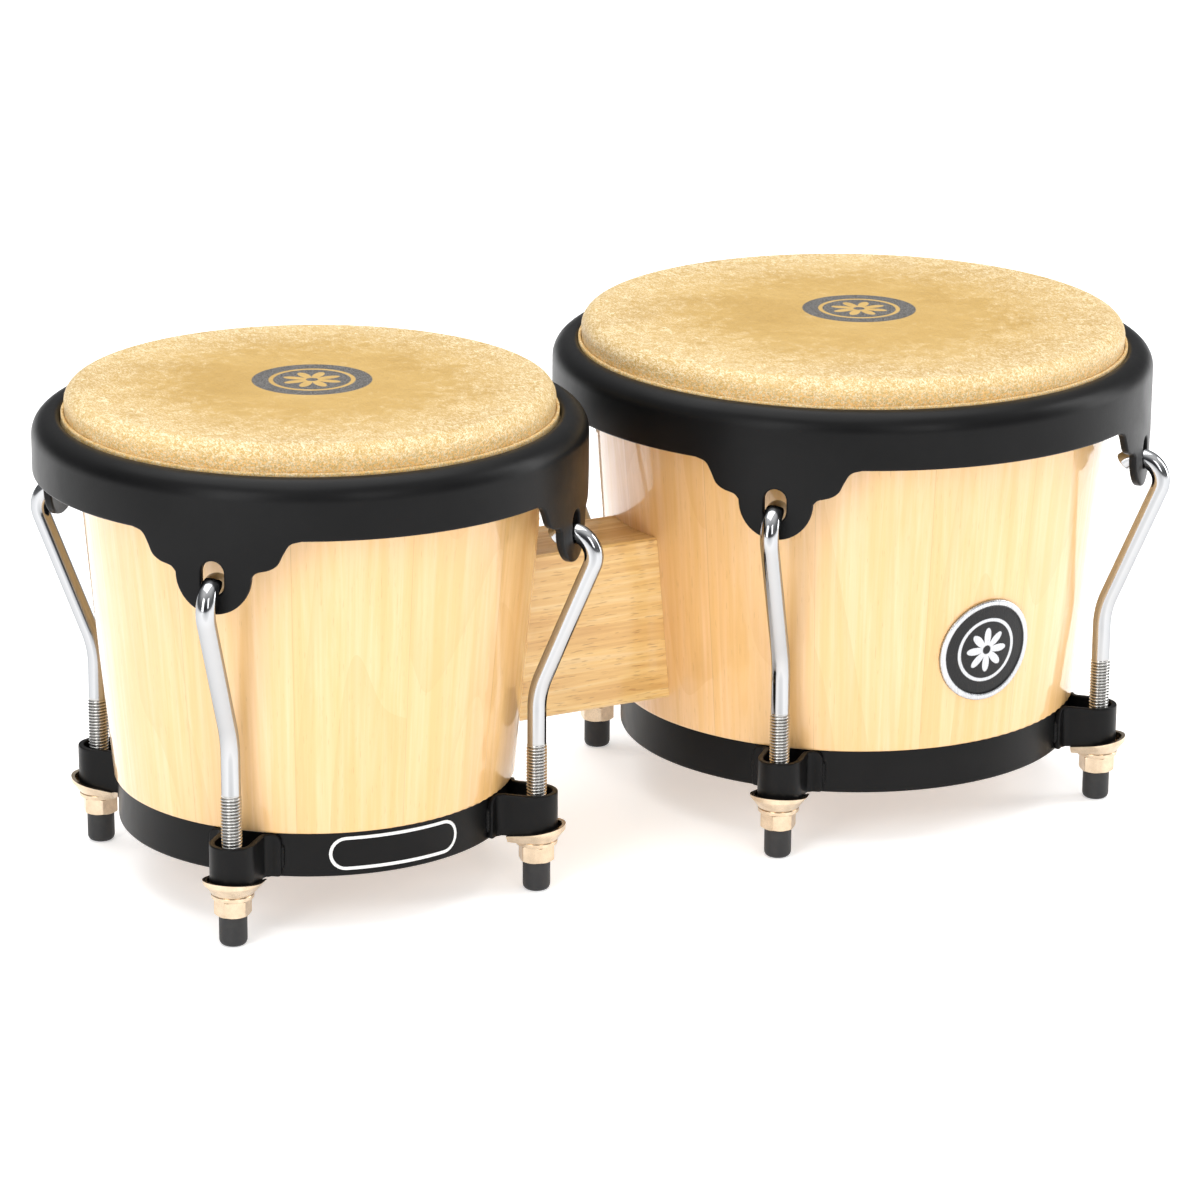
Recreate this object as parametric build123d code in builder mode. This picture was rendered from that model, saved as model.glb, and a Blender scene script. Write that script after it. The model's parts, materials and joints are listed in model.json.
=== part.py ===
from build123d import *
import math
import os

os.makedirs("parts", exist_ok=True)

# Pair of hand drums side by side: the small drum on the left, the large one on
# the right, both open underneath, standing on the tips of their tuning lugs.
# Millimetres, Z up, floor at zero.

# Overall sizes
macho_rim_radius = 92.0
hembra_rim_radius = 105.0
rim_spacing = 11.7
playing_height = 169.2
rim_below_head = 8.9
rim_depth = 19.2

# Shells: flared wooden tubes, widest at the head
macho_tuck_width = 1.05
hembra_tuck_width = 0.25
shell_flare = 0.094
shell_wall = 9.5
shoulder = 5.0
fit_gap = 0.05
move_gap = 0.3

# Heads: rawhide tucked round a steel hoop
skin = 1.0
collar_below_head = 6.0
tuck_above_rim = 0.4
tuck_gap = 0.35
collar_gap = 0.4
hoop_wire = 2.5

# Rims: rolled sheet with four slotted ears
rim_sheet = 2.8
rim_roll = 7.0
rim_inner_roll = 2.5
rim_lip_drop = 4.2
ear_sheet = 3.0
ear_drop = 25.2
ear_lobe = 12.7
slot_height = 11.4
slot_ease = 0.6
slot_side = 0.72

# Tuning lugs: J-shaped threaded rods
lug_angles = (45, 135, 225, 315)
macho_lug_inset = 13.5
hembra_lug_inset = 12.8
shank_radius = 3.18
thread_radius = 3.45
thread_end = 51.6
bend_height = 69.6
bend_radius = 30.0
hook_inset = 2.1
hook_below_rim = 23.3
hook_radius = 8.0
hook_drop = 40.0
hook_tail = 0.6

# Hardware stacked on each lug below its bracket, from the floor up
tip_wall = 1.15
tip_height = 10.3
tip_round = 3.6
rod_in_tip = 3.4
nut_flats = 11.0
nut_height = 5.85
nut_clearance = 0.05
stack_gap = 0.1
washer_radius = 7.1
washer_sheet = 1.5
hole_clearance = 0.45
cup_foot_radius = 6.9
cup_lip = 1.3
cup_clearance = 0.9
cup_cone = 3.8
cup_floor = 2.4
cup_lip_high = 5.6
cup_lip_low = 2.7
cup_back = 8.0

# Bottom bands with welded U-shaped brackets
band_step = 1.3
band_sheet = 1.6
band_below_bracket = 0.6
band_above_bracket = 0.1
band_floor = 1.5
band_lip = 6.0
bracket_half = 7.6
bracket_inset = 14.0
bracket_sheet = 1.9
bracket_height = 14.6
flange_length = 4.6

# Wooden block between the shells
block_width = 31.8
block_bottom = 44.6
block_top = 102.9
block_ease = 0.8
bolt_spread = 28.0
bolt_radius = 4.0
bolt_clearance = 0.15
seat_radius = 10.0
seat_depth = 0.8
flange_radius = 8.5
flange_sheet = 1.8
bolt_flats = 13.0
bolt_head = 5.6
bolt_end = 3.0

# Round badge on the large shell
badge_radius = 18.2
badge_height = 69.2
badge_angle = 273.5
badge_sheet = 1.2

# Heights down from the head
rim_top = playing_height - rim_below_head
rim_bottom = rim_top - rim_depth
ear_bottom = rim_bottom - ear_drop
hook_height = rim_bottom - hook_below_rim
collar_top = playing_height - collar_below_head
shell_top = playing_height - skin
tuck_edge_top = rim_top + tuck_above_rim
skin_wrap = hoop_wire + move_gap + skin
hoop_height = rim_top - rim_lip_drop - collar_gap - skin_wrap

# Heights up from the floor
nut_bottom = tip_height + stack_gap
washer_bottom = nut_bottom + nut_height + stack_gap / 2
cup_bottom = washer_bottom + washer_sheet
bracket_bottom = cup_bottom + cup_floor
band_bottom = bracket_bottom - band_below_bracket
band_top = bracket_bottom + bracket_height + band_above_bracket
shell_foot = band_bottom + band_floor

# Sizes that fit round one another
tuck_edge_inset = rim_roll + rim_inner_roll + tuck_gap
hoop_inset = rim_sheet + collar_gap + skin_wrap
skin_taper = skin + fit_gap + shell_flare * (shell_top - rim_bottom)
macho_shell_inset = tuck_edge_inset + macho_tuck_width + skin_taper
hembra_shell_inset = tuck_edge_inset + hembra_tuck_width + skin_taper
slot_width = 2 * (shank_radius + slot_side)
tip_radius = thread_radius + fit_gap + tip_wall
cup_radius = bracket_half + cup_clearance + cup_lip

# The two drums side by side, centred on the frame
centre_distance = macho_rim_radius + hembra_rim_radius + rim_spacing
middle = (centre_distance + hembra_rim_radius - macho_rim_radius) / 2
macho_x = -middle
hembra_x = centre_distance - middle


def shell_radius(rim_radius, inset, z):
    """Outside radius of a shell at a height."""
    return rim_radius - inset + shell_flare * (z - rim_bottom)


def upright(x):
    """Plane through a drum's axis, drawn as radius across and height up."""
    return Plane(origin=(x, 0, 0), x_dir=(1, 0, 0), z_dir=(0, -1, 0))


def lug_plane(x, radius, angle):
    """Upright plane through a lug, drawn outwards from it and up."""
    a = math.radians(angle)
    spot = (x + radius * math.cos(a), radius * math.sin(a), 0)
    outwards = (math.cos(a), math.sin(a), 0)
    return Plane(origin=spot, x_dir=outwards, z_dir=(math.sin(a), -math.cos(a), 0))


def save(piece, label):
    """Name a finished piece and write its STEP file."""
    piece.part.label = label
    export_step(piece.part, f"parts/{label}.step")


def make_shell(x, rim_radius, inset, side):
    top = shell_radius(rim_radius, inset, shell_top)
    foot = shell_radius(rim_radius, inset, band_top)
    rabbet = foot - band_step - band_sheet
    with BuildPart() as shell:
        with BuildSketch(upright(x)):
            with BuildLine():
                Polyline(
                    (rabbet, shell_foot),
                    (rabbet, band_top),
                    (foot, band_top),
                    (top, shell_top),
                    (top - shell_wall, shell_top),
                    (foot - shell_wall, band_top),
                    (foot - shell_wall, shell_foot),
                    close=True,
                )
            make_face()
        revolve(axis=Axis((x, 0, 0), (0, 0, 1)))
        rings = shell.edges().filter_by(GeomType.CIRCLE)
        crown = rings.group_by(Axis.Z)[-1].sort_by(SortBy.RADIUS)
        fillet(crown[-1], shoulder - skin)
        fillet(crown[0], 1.5)
        step = rings.filter_by(lambda e: abs(e.center().Z - band_top) < 0.01)
        fillet(step.sort_by(SortBy.RADIUS)[-1], 1.0)
        for height in bolt_heights:
            across = Plane(origin=(x, 0, height), x_dir=(0, 1, 0), z_dir=(side, 0, 0))
            with BuildSketch(across):
                Circle(bolt_radius + bolt_clearance)
            extrude(amount=rim_radius, mode=Mode.SUBTRACT)
            with BuildSketch(across):
                Circle(seat_radius)
            extrude(amount=seat_reach(rim_radius, inset, height), mode=Mode.SUBTRACT)
    return shell


def shell_envelope(x, rim_radius, inset, gap):
    """The shell's outside as a solid cone, for cutting what fits round it."""
    with BuildPart() as cone:
        with BuildSketch(upright(x)):
            with BuildLine():
                Polyline(
                    (0, band_top),
                    (shell_radius(rim_radius, inset, band_top) + gap, band_top),
                    (shell_radius(rim_radius, inset, shell_top) + gap, shell_top),
                    (0, shell_top),
                    close=True,
                )
            make_face()
        revolve(axis=Axis((x, 0, 0), (0, 0, 1)))
        fillet(cone.edges().filter_by(GeomType.CIRCLE).group_by(Axis.Z)[-1], shoulder - skin)
    return cone


def make_head(x, rim_radius, inset, envelope):
    """Playing surface of the skin, down to the start of its collar."""
    edge = shell_radius(rim_radius, inset, shell_top) + skin + fit_gap
    with BuildPart() as head:
        with Locations((x, 0, collar_top)):
            Cylinder(edge, playing_height - collar_top, align=(Align.CENTER, Align.CENTER, Align.MIN))
        fillet(head.edges().group_by(Axis.Z)[-1], shoulder)
        add(envelope.part, mode=Mode.SUBTRACT)
    return head


def make_collar(x, rim_radius, inset, envelope):
    """Skin from the shoulder down, round the hoop and back up to its cut edge."""
    edge = shell_radius(rim_radius, inset, shell_top) + skin + fit_gap
    tuck = rim_radius - tuck_edge_inset
    hoop = rim_radius - hoop_inset
    with BuildPart() as collar:
        with BuildSketch(upright(x)):
            with BuildLine():
                Polyline(
                    (hoop - skin_wrap, hoop_height),
                    (shell_radius(rim_radius, inset, hoop_height + 8), hoop_height + 8),
                    (edge - 3 * skin, collar_top),
                    (edge, collar_top),
                    (edge, tuck_edge_top + 0.4),
                    (tuck - 0.5, tuck_edge_top),
                    (tuck, tuck_edge_top - 0.5),
                    (tuck, hoop_height + skin_wrap),
                    (hoop, hoop_height + skin_wrap),
                )
                CenterArc((hoop, hoop_height), skin_wrap, 90, -270)
            make_face()
            with Locations((hoop, hoop_height)):
                Circle(hoop_wire + move_gap, mode=Mode.SUBTRACT)
        revolve(axis=Axis((x, 0, 0), (0, 0, 1)))
        add(envelope.part, mode=Mode.SUBTRACT)
    return collar


def make_hoop(x, rim_radius):
    with BuildPart() as hoop:
        with BuildSketch(upright(x)):
            with Locations((rim_radius - hoop_inset, hoop_height)):
                Circle(hoop_wire)
        revolve(axis=Axis((x, 0, 0), (0, 0, 1)))
    return hoop


def make_ears(x, rim_radius):
    """Four slotted ears, bent to the rim's circle."""
    lobe_height = ear_bottom + ear_lobe
    slot_bottom = hook_height + hook_radius - shank_radius - slot_ease
    slot_middle = slot_bottom + slot_height / 2
    ogee = (
        (12.9, 0.2),
        (14.6, 1.6),
        (18.6, 2.7),
        (21.4, 4.6),
        (23.3, 8.2),
        (25.4, 11.2),
        (29.0, 12.9),
    )
    right = [(w, lobe_height + h) for w, h in ogee]
    left = [(-w, z) for w, z in reversed(right)]
    with BuildPart() as ears:
        for angle in lug_angles:
            a = math.radians(angle)
            along = (-math.sin(a), math.cos(a), 0)
            face = Plane(origin=(x, 0, 0), x_dir=along, z_dir=(math.cos(a), math.sin(a), 0))
            with BuildSketch(face.offset(rim_radius - 20)):
                with BuildLine():
                    Line((-29.0, rim_bottom + 2), left[0])
                    Spline(left)
                    ThreePointArc(left[-1], (0, ear_bottom), right[0])
                    Spline(right)
                    Line(right[-1], (29.0, rim_bottom + 2))
                    Line((29.0, rim_bottom + 2), (-29.0, rim_bottom + 2))
                make_face()
                with Locations((0, slot_middle)):
                    SlotOverall(slot_height, slot_width, rotation=90, mode=Mode.SUBTRACT)
            extrude(amount=30)
        with BuildSketch(Plane.XY.offset(ear_bottom - 5)):
            with Locations((x, 0)):
                Circle(rim_radius)
                Circle(rim_radius - ear_sheet, mode=Mode.SUBTRACT)
        extrude(amount=rim_top - ear_bottom, mode=Mode.INTERSECT)
    return ears


def make_rim(x, rim_radius, ears):
    with BuildPart() as rim:
        with BuildSketch(upright(x)):
            with BuildLine():
                outside = Line((rim_radius, rim_bottom), (rim_radius, rim_top - rim_roll))
                crest = CenterArc((rim_radius - rim_roll, rim_top - rim_roll), rim_roll, 0, 90)
                lip_centre = (rim_radius - rim_roll, rim_top - rim_inner_roll)
                inside = CenterArc(lip_centre, rim_inner_roll, 90, 90)
                Polyline(
                    inside @ 1,
                    (rim_radius - rim_roll - rim_inner_roll, rim_top - rim_lip_drop),
                    (rim_radius - rim_roll, rim_top - rim_lip_drop),
                    (rim_radius - rim_roll, rim_top - rim_sheet),
                )
                CenterArc((rim_radius - rim_roll, rim_top - rim_roll), rim_roll - rim_sheet, 90, -90)
                Polyline(
                    (rim_radius - rim_sheet, rim_top - rim_roll),
                    (rim_radius - rim_sheet, rim_bottom),
                    outside @ 0,
                )
            make_face()
        revolve(axis=Axis((x, 0, 0), (0, 0, 1)))
        add(ears.part)
    return rim


def make_lug(x, rim_radius, reach, angle):
    """J-shaped rod: threaded foot, bend outwards, hook over the ear."""
    place = lug_plane(x, reach, angle)
    hook_reach = rim_radius - hook_inset - reach
    rise = hook_height - bend_height
    span = math.hypot(hook_reach, rise)
    lean = math.atan2(hook_reach, rise) + math.asin(hook_radius / span)
    trim = bend_radius * math.tan(lean / 2)
    slant = (math.sin(lean), math.cos(lean))
    bend_end = (trim * slant[0], bend_height + trim * slant[1])
    hook_start = (hook_reach + hook_radius * slant[1], hook_height - hook_radius * slant[0])
    turn = math.degrees(lean) + 90 + hook_drop
    with BuildPart() as lug:
        with BuildLine(place) as path:
            Line((0, thread_end), (0, bend_height - trim))
            JernArc((0, bend_height - trim), (0, 1), bend_radius, -math.degrees(lean))
            Line(bend_end, hook_start)
            hook = JernArc(hook_start, slant, hook_radius, turn)
            Line(hook @ 1, hook @ 1 + (hook % 1) * hook_tail)
        with BuildSketch(Plane(origin=path.line @ 0, z_dir=path.line % 0)):
            Circle(shank_radius)
        sweep()
        with BuildSketch(Plane.XY.offset(rod_in_tip)):
            with Locations((place.origin.X, place.origin.Y)):
                Circle(thread_radius)
        extrude(amount=thread_end - rod_in_tip)
        ends = lug.edges().filter_by(GeomType.CIRCLE)
        chamfer(ends.sort_by(Axis.Z)[0], 0.6)
    return lug


def make_tip(x, reach, angle):
    """Rubber foot pushed over the end of a lug."""
    place = lug_plane(x, reach, angle)
    with BuildPart() as tip:
        with Locations((place.origin.X, place.origin.Y, 0)):
            Cylinder(tip_radius, tip_height, align=(Align.CENTER, Align.CENTER, Align.MIN))
        fillet(tip.edges().group_by(Axis.Z)[0], tip_round)
        with Locations((place.origin.X, place.origin.Y, rod_in_tip)):
            Cylinder(
                thread_radius + fit_gap,
                tip_height,
                align=(Align.CENTER, Align.CENTER, Align.MIN),
                mode=Mode.SUBTRACT,
            )
    return tip


def make_nut(x, reach, angle):
    """Hexagon nut, its lower corners turned off."""
    place = lug_plane(x, reach, angle)
    middle_of_nut = (place.origin.X, place.origin.Y)
    corner = nut_flats / math.sqrt(3)
    with BuildPart() as nut:
        with BuildSketch(Plane.XY.offset(nut_bottom)):
            with Locations(middle_of_nut):
                RegularPolygon(nut_flats / 2, 6, major_radius=False, rotation=angle)
                Circle(thread_radius + nut_clearance, mode=Mode.SUBTRACT)
        extrude(amount=nut_height)
        with BuildSketch(place):
            with BuildLine():
                Polyline(
                    (0, nut_bottom),
                    (nut_flats / 2 - 0.1, nut_bottom),
                    (corner, nut_bottom + 0.7),
                    (corner, nut_bottom + nut_height),
                    (0, nut_bottom + nut_height),
                    close=True,
                )
            make_face()
        revolve(axis=Axis(place.origin, (0, 0, 1)), mode=Mode.INTERSECT)
    return nut


def make_washer(x, reach, angle):
    place = lug_plane(x, reach, angle)
    with BuildPart() as washer:
        with BuildSketch(Plane.XY.offset(washer_bottom)):
            with Locations((place.origin.X, place.origin.Y)):
                Circle(washer_radius)
                Circle(thread_radius + hole_clearance, mode=Mode.SUBTRACT)
        extrude(amount=washer_sheet)
        chamfer(washer.edges().group_by(Axis.Z)[0].sort_by(SortBy.RADIUS)[-1], 0.3)
    return washer


def cup_outline(place, height, radius):
    """Half-round outside, straight sides running in towards the shell."""
    level = place.origin + Vector(0, 0, height)
    flat = Plane(origin=level, x_dir=place.x_dir, z_dir=(0, 0, 1))
    with BuildSketch(flat) as outline:
        Circle(radius)
        with Locations((-cup_radius, 0)):
            Rectangle(2 * cup_radius, 2 * radius)
    return outline


def make_cup(x, reach, angle):
    """Dished washer that cradles the end of a bracket."""
    place = lug_plane(x, reach, angle)
    small = cup_outline(place, cup_bottom, cup_foot_radius)
    wide = cup_outline(place, cup_bottom + cup_cone, cup_radius)
    pocket = cup_outline(place, cup_bottom + cup_floor, cup_radius - cup_lip - 0.5)
    mouth = cup_outline(place, cup_bottom + cup_lip_high + 0.5, cup_radius - cup_lip + 0.2)
    with BuildPart() as cup:
        add(small.sketch)
        add(wide.sketch)
        loft()
        add(wide.sketch)
        extrude(amount=cup_lip_high - cup_cone, dir=(0, 0, 1))
        add(pocket.sketch)
        add(mouth.sketch)
        loft(mode=Mode.SUBTRACT)
        with BuildSketch(place):
            with BuildLine():
                Polyline(
                    (-3 * cup_radius, cup_bottom + cup_lip_low - 1.5),
                    (-cup_back, cup_bottom + cup_lip_low),
                    (cup_radius, cup_bottom + cup_lip_high),
                    (cup_radius, cup_bottom + 3 * cup_lip_high),
                    (-3 * cup_radius, cup_bottom + 3 * cup_lip_high),
                    close=True,
                )
            make_face()
        extrude(amount=2 * cup_radius, both=True, mode=Mode.SUBTRACT)
        with BuildSketch(place):
            with Locations((-cup_back - 2 * cup_radius, cup_bottom)):
                Rectangle(4 * cup_radius, 10 * cup_lip_high)
        extrude(amount=2 * cup_radius, both=True, mode=Mode.SUBTRACT)
        with BuildSketch(Plane.XY.offset(cup_bottom)):
            with Locations((place.origin.X, place.origin.Y)):
                Circle(thread_radius + hole_clearance)
        extrude(amount=cup_lip_high, mode=Mode.SUBTRACT)
    return cup


def make_band(x, rim_radius, inset):
    """Steel band under the shell with a lip and four welded U brackets."""
    wood = shell_radius(rim_radius, inset, band_top) - band_step
    reach = rim_radius - bracket_inset
    gap = reach - wood
    with BuildPart() as band:
        for angle in lug_angles:
            place = lug_plane(x, reach, angle)
            low = place.origin + Vector(0, 0, bracket_bottom)
            flat = Plane(origin=low, x_dir=place.x_dir, z_dir=(0, 0, 1))
            with BuildSketch(flat):
                with Locations((-reach, 0)):
                    Circle(wood + bracket_sheet)
                with Locations((-gap, 0)):
                    Rectangle(gap, 2 * (bracket_half + flange_length), mode=Mode.INTERSECT)
                Circle(bracket_half)
                with Locations((-gap / 2, 0)):
                    Rectangle(gap, 2 * bracket_half)
                Circle(bracket_half - bracket_sheet, mode=Mode.SUBTRACT)
                with Locations((-gap, 0)):
                    Rectangle(2 * gap, 2 * (bracket_half - bracket_sheet), mode=Mode.SUBTRACT)
                with Locations((-reach, 0)):
                    Circle(wood - band_sheet / 2, mode=Mode.SUBTRACT)
            extrude(amount=bracket_height)
        with BuildSketch(upright(x)):
            with BuildLine():
                Polyline(
                    (wood - band_lip, band_bottom),
                    (wood, band_bottom),
                    (wood, band_top),
                    (wood - band_sheet, band_top),
                    (wood - band_sheet, shell_foot),
                    (wood - band_lip, shell_foot),
                    close=True,
                )
            make_face()
        revolve(axis=Axis((x, 0, 0), (0, 0, 1)))
    return band


def make_block(left_cone, right_cone):
    """Wooden block hollowed at both ends to fit the shells."""
    left = macho_x + macho_rim_radius / 2
    right = hembra_x - hembra_rim_radius / 2
    with BuildPart() as block:
        with Locations(((left + right) / 2, 0, (block_bottom + block_top) / 2)):
            Box(right - left, block_width, block_top - block_bottom)
        chamfer(block.edges().filter_by(Axis.X), block_ease)
        add(left_cone.part, mode=Mode.SUBTRACT)
        add(right_cone.part, mode=Mode.SUBTRACT)
        for height in bolt_heights:
            with BuildSketch(Plane(origin=(left, 0, height), x_dir=(0, 1, 0), z_dir=(1, 0, 0))):
                Circle(bolt_radius + bolt_clearance)
            extrude(amount=right - left, mode=Mode.SUBTRACT)
    return block


def seat_reach(rim_radius, inset, height):
    """Distance from a drum's axis to the flat seat of a bolt inside its shell."""
    return shell_radius(rim_radius, inset, height) - shell_wall + seat_depth


def make_bolt(height):
    start = macho_x + seat_reach(macho_rim_radius, macho_shell_inset, height)
    finish = hembra_x - seat_reach(hembra_rim_radius, hembra_shell_inset, height)
    seat = Plane(origin=(start, 0, height), x_dir=(0, 1, 0), z_dir=(-1, 0, 0))
    with BuildPart() as bolt:
        with BuildSketch(seat):
            Circle(bolt_radius)
        extrude(amount=start - finish - flange_sheet - bolt_head - bolt_end)
        with BuildSketch(seat):
            Circle(flange_radius)
        extrude(amount=flange_sheet)
        with BuildSketch(seat):
            RegularPolygon(bolt_flats / 2, 6, major_radius=False)
        extrude(amount=flange_sheet + bolt_head)
        chamfer(bolt.edges().filter_by(GeomType.CIRCLE).sort_by(Axis.X)[-1], 0.6)
    return bolt


def make_bolt_nut(height):
    finish = hembra_x - seat_reach(hembra_rim_radius, hembra_shell_inset, height)
    seat = Plane(origin=(finish, 0, height), x_dir=(0, 1, 0), z_dir=(1, 0, 0))
    with BuildPart() as nut:
        with BuildSketch(seat):
            Circle(flange_radius)
            Circle(bolt_radius + fit_gap, mode=Mode.SUBTRACT)
        extrude(amount=flange_sheet)
        with BuildSketch(seat.offset(flange_sheet)):
            RegularPolygon(bolt_flats / 2, 6, major_radius=False)
            Circle(bolt_radius + fit_gap, mode=Mode.SUBTRACT)
        extrude(amount=bolt_head)
    return nut


def make_badge(inner, outer):
    """Round metal badge bent to the large shell."""
    a = math.radians(badge_angle)
    out = Vector(math.cos(a), math.sin(a), 0)
    centre = Vector(hembra_x, 0, badge_height) + out * (hembra_rim_radius / 2)
    with BuildPart() as badge:
        with BuildSketch(Plane(origin=centre, x_dir=(-math.sin(a), math.cos(a), 0), z_dir=out)):
            Circle(badge_radius)
        extrude(amount=hembra_rim_radius / 2)
        add(outer.part, mode=Mode.INTERSECT)
        add(inner.part, mode=Mode.SUBTRACT)
    return badge


bolt_middle = (block_bottom + block_top) / 2
bolt_heights = (bolt_middle - bolt_spread / 2, bolt_middle + bolt_spread / 2)

drums = (
    ("macho", macho_x, macho_rim_radius, macho_shell_inset, macho_lug_inset, 1),
    ("hembra", hembra_x, hembra_rim_radius, hembra_shell_inset, hembra_lug_inset, -1),
)

cones = {}
for name, x, rim_radius, inset, lug_inset, side in drums:
    reach = rim_radius - lug_inset
    cones[name] = shell_envelope(x, rim_radius, inset, 0)
    skin_cone = shell_envelope(x, rim_radius, inset, fit_gap)
    save(make_shell(x, rim_radius, inset, side), f"{name}_shell")
    save(make_head(x, rim_radius, inset, skin_cone), f"{name}_head")
    save(make_collar(x, rim_radius, inset, skin_cone), f"{name}_collar")
    save(make_hoop(x, rim_radius), f"{name}_flesh_hoop")
    save(make_rim(x, rim_radius, make_ears(x, rim_radius)), f"{name}_rim")
    save(make_band(x, rim_radius, inset), f"{name}_band")
    for number, angle in enumerate(lug_angles, start=1):
        save(make_lug(x, rim_radius, reach, angle), f"{name}_lug_{number}")
        save(make_tip(x, reach, angle), f"{name}_tip_{number}")
        save(make_nut(x, reach, angle), f"{name}_nut_{number}")
        save(make_washer(x, reach, angle), f"{name}_washer_{number}")
        save(make_cup(x, reach, angle), f"{name}_cup_{number}")

save(make_block(cones["macho"], cones["hembra"]), "centre_block")
for number, height in enumerate(bolt_heights, start=1):
    save(make_bolt(height), f"block_bolt_{number}")
    save(make_bolt_nut(height), f"block_nut_{number}")

badge_cone = shell_envelope(hembra_x, hembra_rim_radius, hembra_shell_inset, badge_sheet)
save(make_badge(cones["hembra"], badge_cone), "hembra_badge")
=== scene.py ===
import json
import math

import bmesh
import bpy
from mathutils import Matrix, Vector, noise
from mathutils.geometry import delaunay_2d_cdt


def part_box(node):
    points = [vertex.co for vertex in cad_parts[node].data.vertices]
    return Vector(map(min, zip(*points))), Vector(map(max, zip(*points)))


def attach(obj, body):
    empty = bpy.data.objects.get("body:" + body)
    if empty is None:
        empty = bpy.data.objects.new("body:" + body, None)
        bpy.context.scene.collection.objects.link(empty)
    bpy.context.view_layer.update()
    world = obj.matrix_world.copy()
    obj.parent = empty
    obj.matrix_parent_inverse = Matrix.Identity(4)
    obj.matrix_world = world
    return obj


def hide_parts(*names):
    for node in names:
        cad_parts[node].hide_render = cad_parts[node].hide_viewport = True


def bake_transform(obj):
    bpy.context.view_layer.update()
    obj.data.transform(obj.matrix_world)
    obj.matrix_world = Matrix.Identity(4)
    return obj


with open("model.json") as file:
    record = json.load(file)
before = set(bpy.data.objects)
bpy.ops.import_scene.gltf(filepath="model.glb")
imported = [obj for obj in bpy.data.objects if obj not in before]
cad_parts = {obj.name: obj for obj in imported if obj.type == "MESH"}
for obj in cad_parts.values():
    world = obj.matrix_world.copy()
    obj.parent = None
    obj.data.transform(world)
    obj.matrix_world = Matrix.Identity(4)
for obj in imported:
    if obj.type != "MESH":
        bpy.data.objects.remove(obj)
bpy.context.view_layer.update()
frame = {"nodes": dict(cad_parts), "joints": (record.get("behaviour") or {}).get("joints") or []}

# A pair of hand drums, the small one (macho) on the left and the large one
# (hembra) on the right. Metres, Z up. Sizes below are in millimetres times MM.
MM = 0.001
DRUMS = ("macho", "hembra")
BADGE_DRUM = "hembra"

# Rim: rolled sheet steel with slotted ears
RIM_SHEET = 2.8 * MM
RIM_ROLL = 7.0 * MM
RIM_INNER_ROLL = 2.5 * MM
RIM_LIP_DROP = 4.2 * MM
RIM_DEPTH = 19.2 * MM
EAR_LOBE = 12.9 * MM
EAR_SHOULDER = 29.0 * MM
SLOT_WIDTH = 7.8 * MM
SLOT_HEIGHT = 11.4 * MM
EAR_OGEE = ((12.9, 0.0), (14.6, 1.6), (18.6, 2.7), (21.4, 4.6), (23.3, 8.2), (25.4, 11.2), (29.0, 12.3))
SHEET_EDGE = 0.7 * MM

# Tuning lugs
SHANK_RADIUS = 3.18 * MM
THREAD_RADIUS = 3.45 * MM
THREAD_DEPTH = 0.55 * MM
THREAD_PITCH = 1.09 * MM
THREAD_END = 51.6 * MM
ROD_START = 3.4 * MM
BEND_HEIGHT = 69.6 * MM
BEND_RADIUS = 30.0 * MM
HOOK_INSET = 2.1 * MM
HOOK_HEIGHT = 117.8 * MM
HOOK_RADIUS = 8.0 * MM
HOOK_DROP = math.radians(40)
HOOK_TAIL = 0.6 * MM

# Skin: rawhide tucked round the steel hoop
SKIN = 1.0 * MM
SHOULDER = 5.0 * MM
HOOP_INSET = 7.0 * MM
HOOP_HEIGHT = 151.9 * MM
HOOP_WRAP = 3.3 * MM
SHELL_FLARE = 0.094
SHELL_OUTSIDE_BAND = 1.3 * MM
TUCK_TOP = 160.7 * MM
FLAP_GAP = 0.05 * MM

# Bottom band and its welded brackets
BAND_SHEET = 1.6 * MM
BAND_LIP = 6.0 * MM
BAND_FLOOR = 1.5 * MM
BRACKET_INSET = 14.0 * MM
BRACKET_HALF = 7.6 * MM
BRACKET_SHEET = 1.9 * MM
BRACKET_HEIGHT = 14.6 * MM
FLANGE_LENGTH = 4.6 * MM
WELD_START = 3.0 * MM
WELD_LENGTH = 8.4 * MM
WELD_RADIUS = 0.95 * MM

# Printed marks and the badge
PRINT_RADIUS = 20.0 * MM
PRINT_PLACES = {"macho": (1.3 * MM, 1.6 * MM), "hembra": (5.1 * MM, 4.3 * MM)}
OUTLINE_SIZE = (46.0 * MM, 10.4 * MM)
OUTLINE_WIDTH = 1.15 * MM
OUTLINE_HEIGHT = 7.9 * MM
OUTLINE_FRONT = math.radians(-90.8)
BADGE_DISC = 16.0 * MM

# Studio: the camera's azimuth, elevation and roll are in degrees
FLOOR_RADIUS = 40.0
CAMERA_PLACE = (-0.75275, -1.38769, 0.56991)
CAMERA_TURN = (-28.42, 17.31, -0.41)
LENS = 143.49

# Small hardware
NUT_FLATS = 11.0 * MM
TIP_WALL = 1.15 * MM

spins = {joint["child"]: joint for joint in frame["joints"] if joint["type"] == "hinge"}


# ---------------------------------------------------------------- measuring


def measure(name):
    """A drum's axis, radii and heights, read from its CAD nodes."""
    rim_low, rim_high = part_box(f"{name}_rim")
    head_low, head_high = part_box(f"{name}_head")
    band_low, band_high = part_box(f"{name}_band")
    return {
        "name": name,
        "x": (rim_low.x + rim_high.x) / 2,
        "rim": (rim_high.x - rim_low.x) / 2,
        "rim_top": rim_high.z,
        "ear_bottom": rim_low.z,
        "head_edge": (head_high.x - head_low.x) / 2,
        "head_top": head_high.z,
        "band_bottom": band_low.z,
        "band_top": band_high.z,
    }


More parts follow.
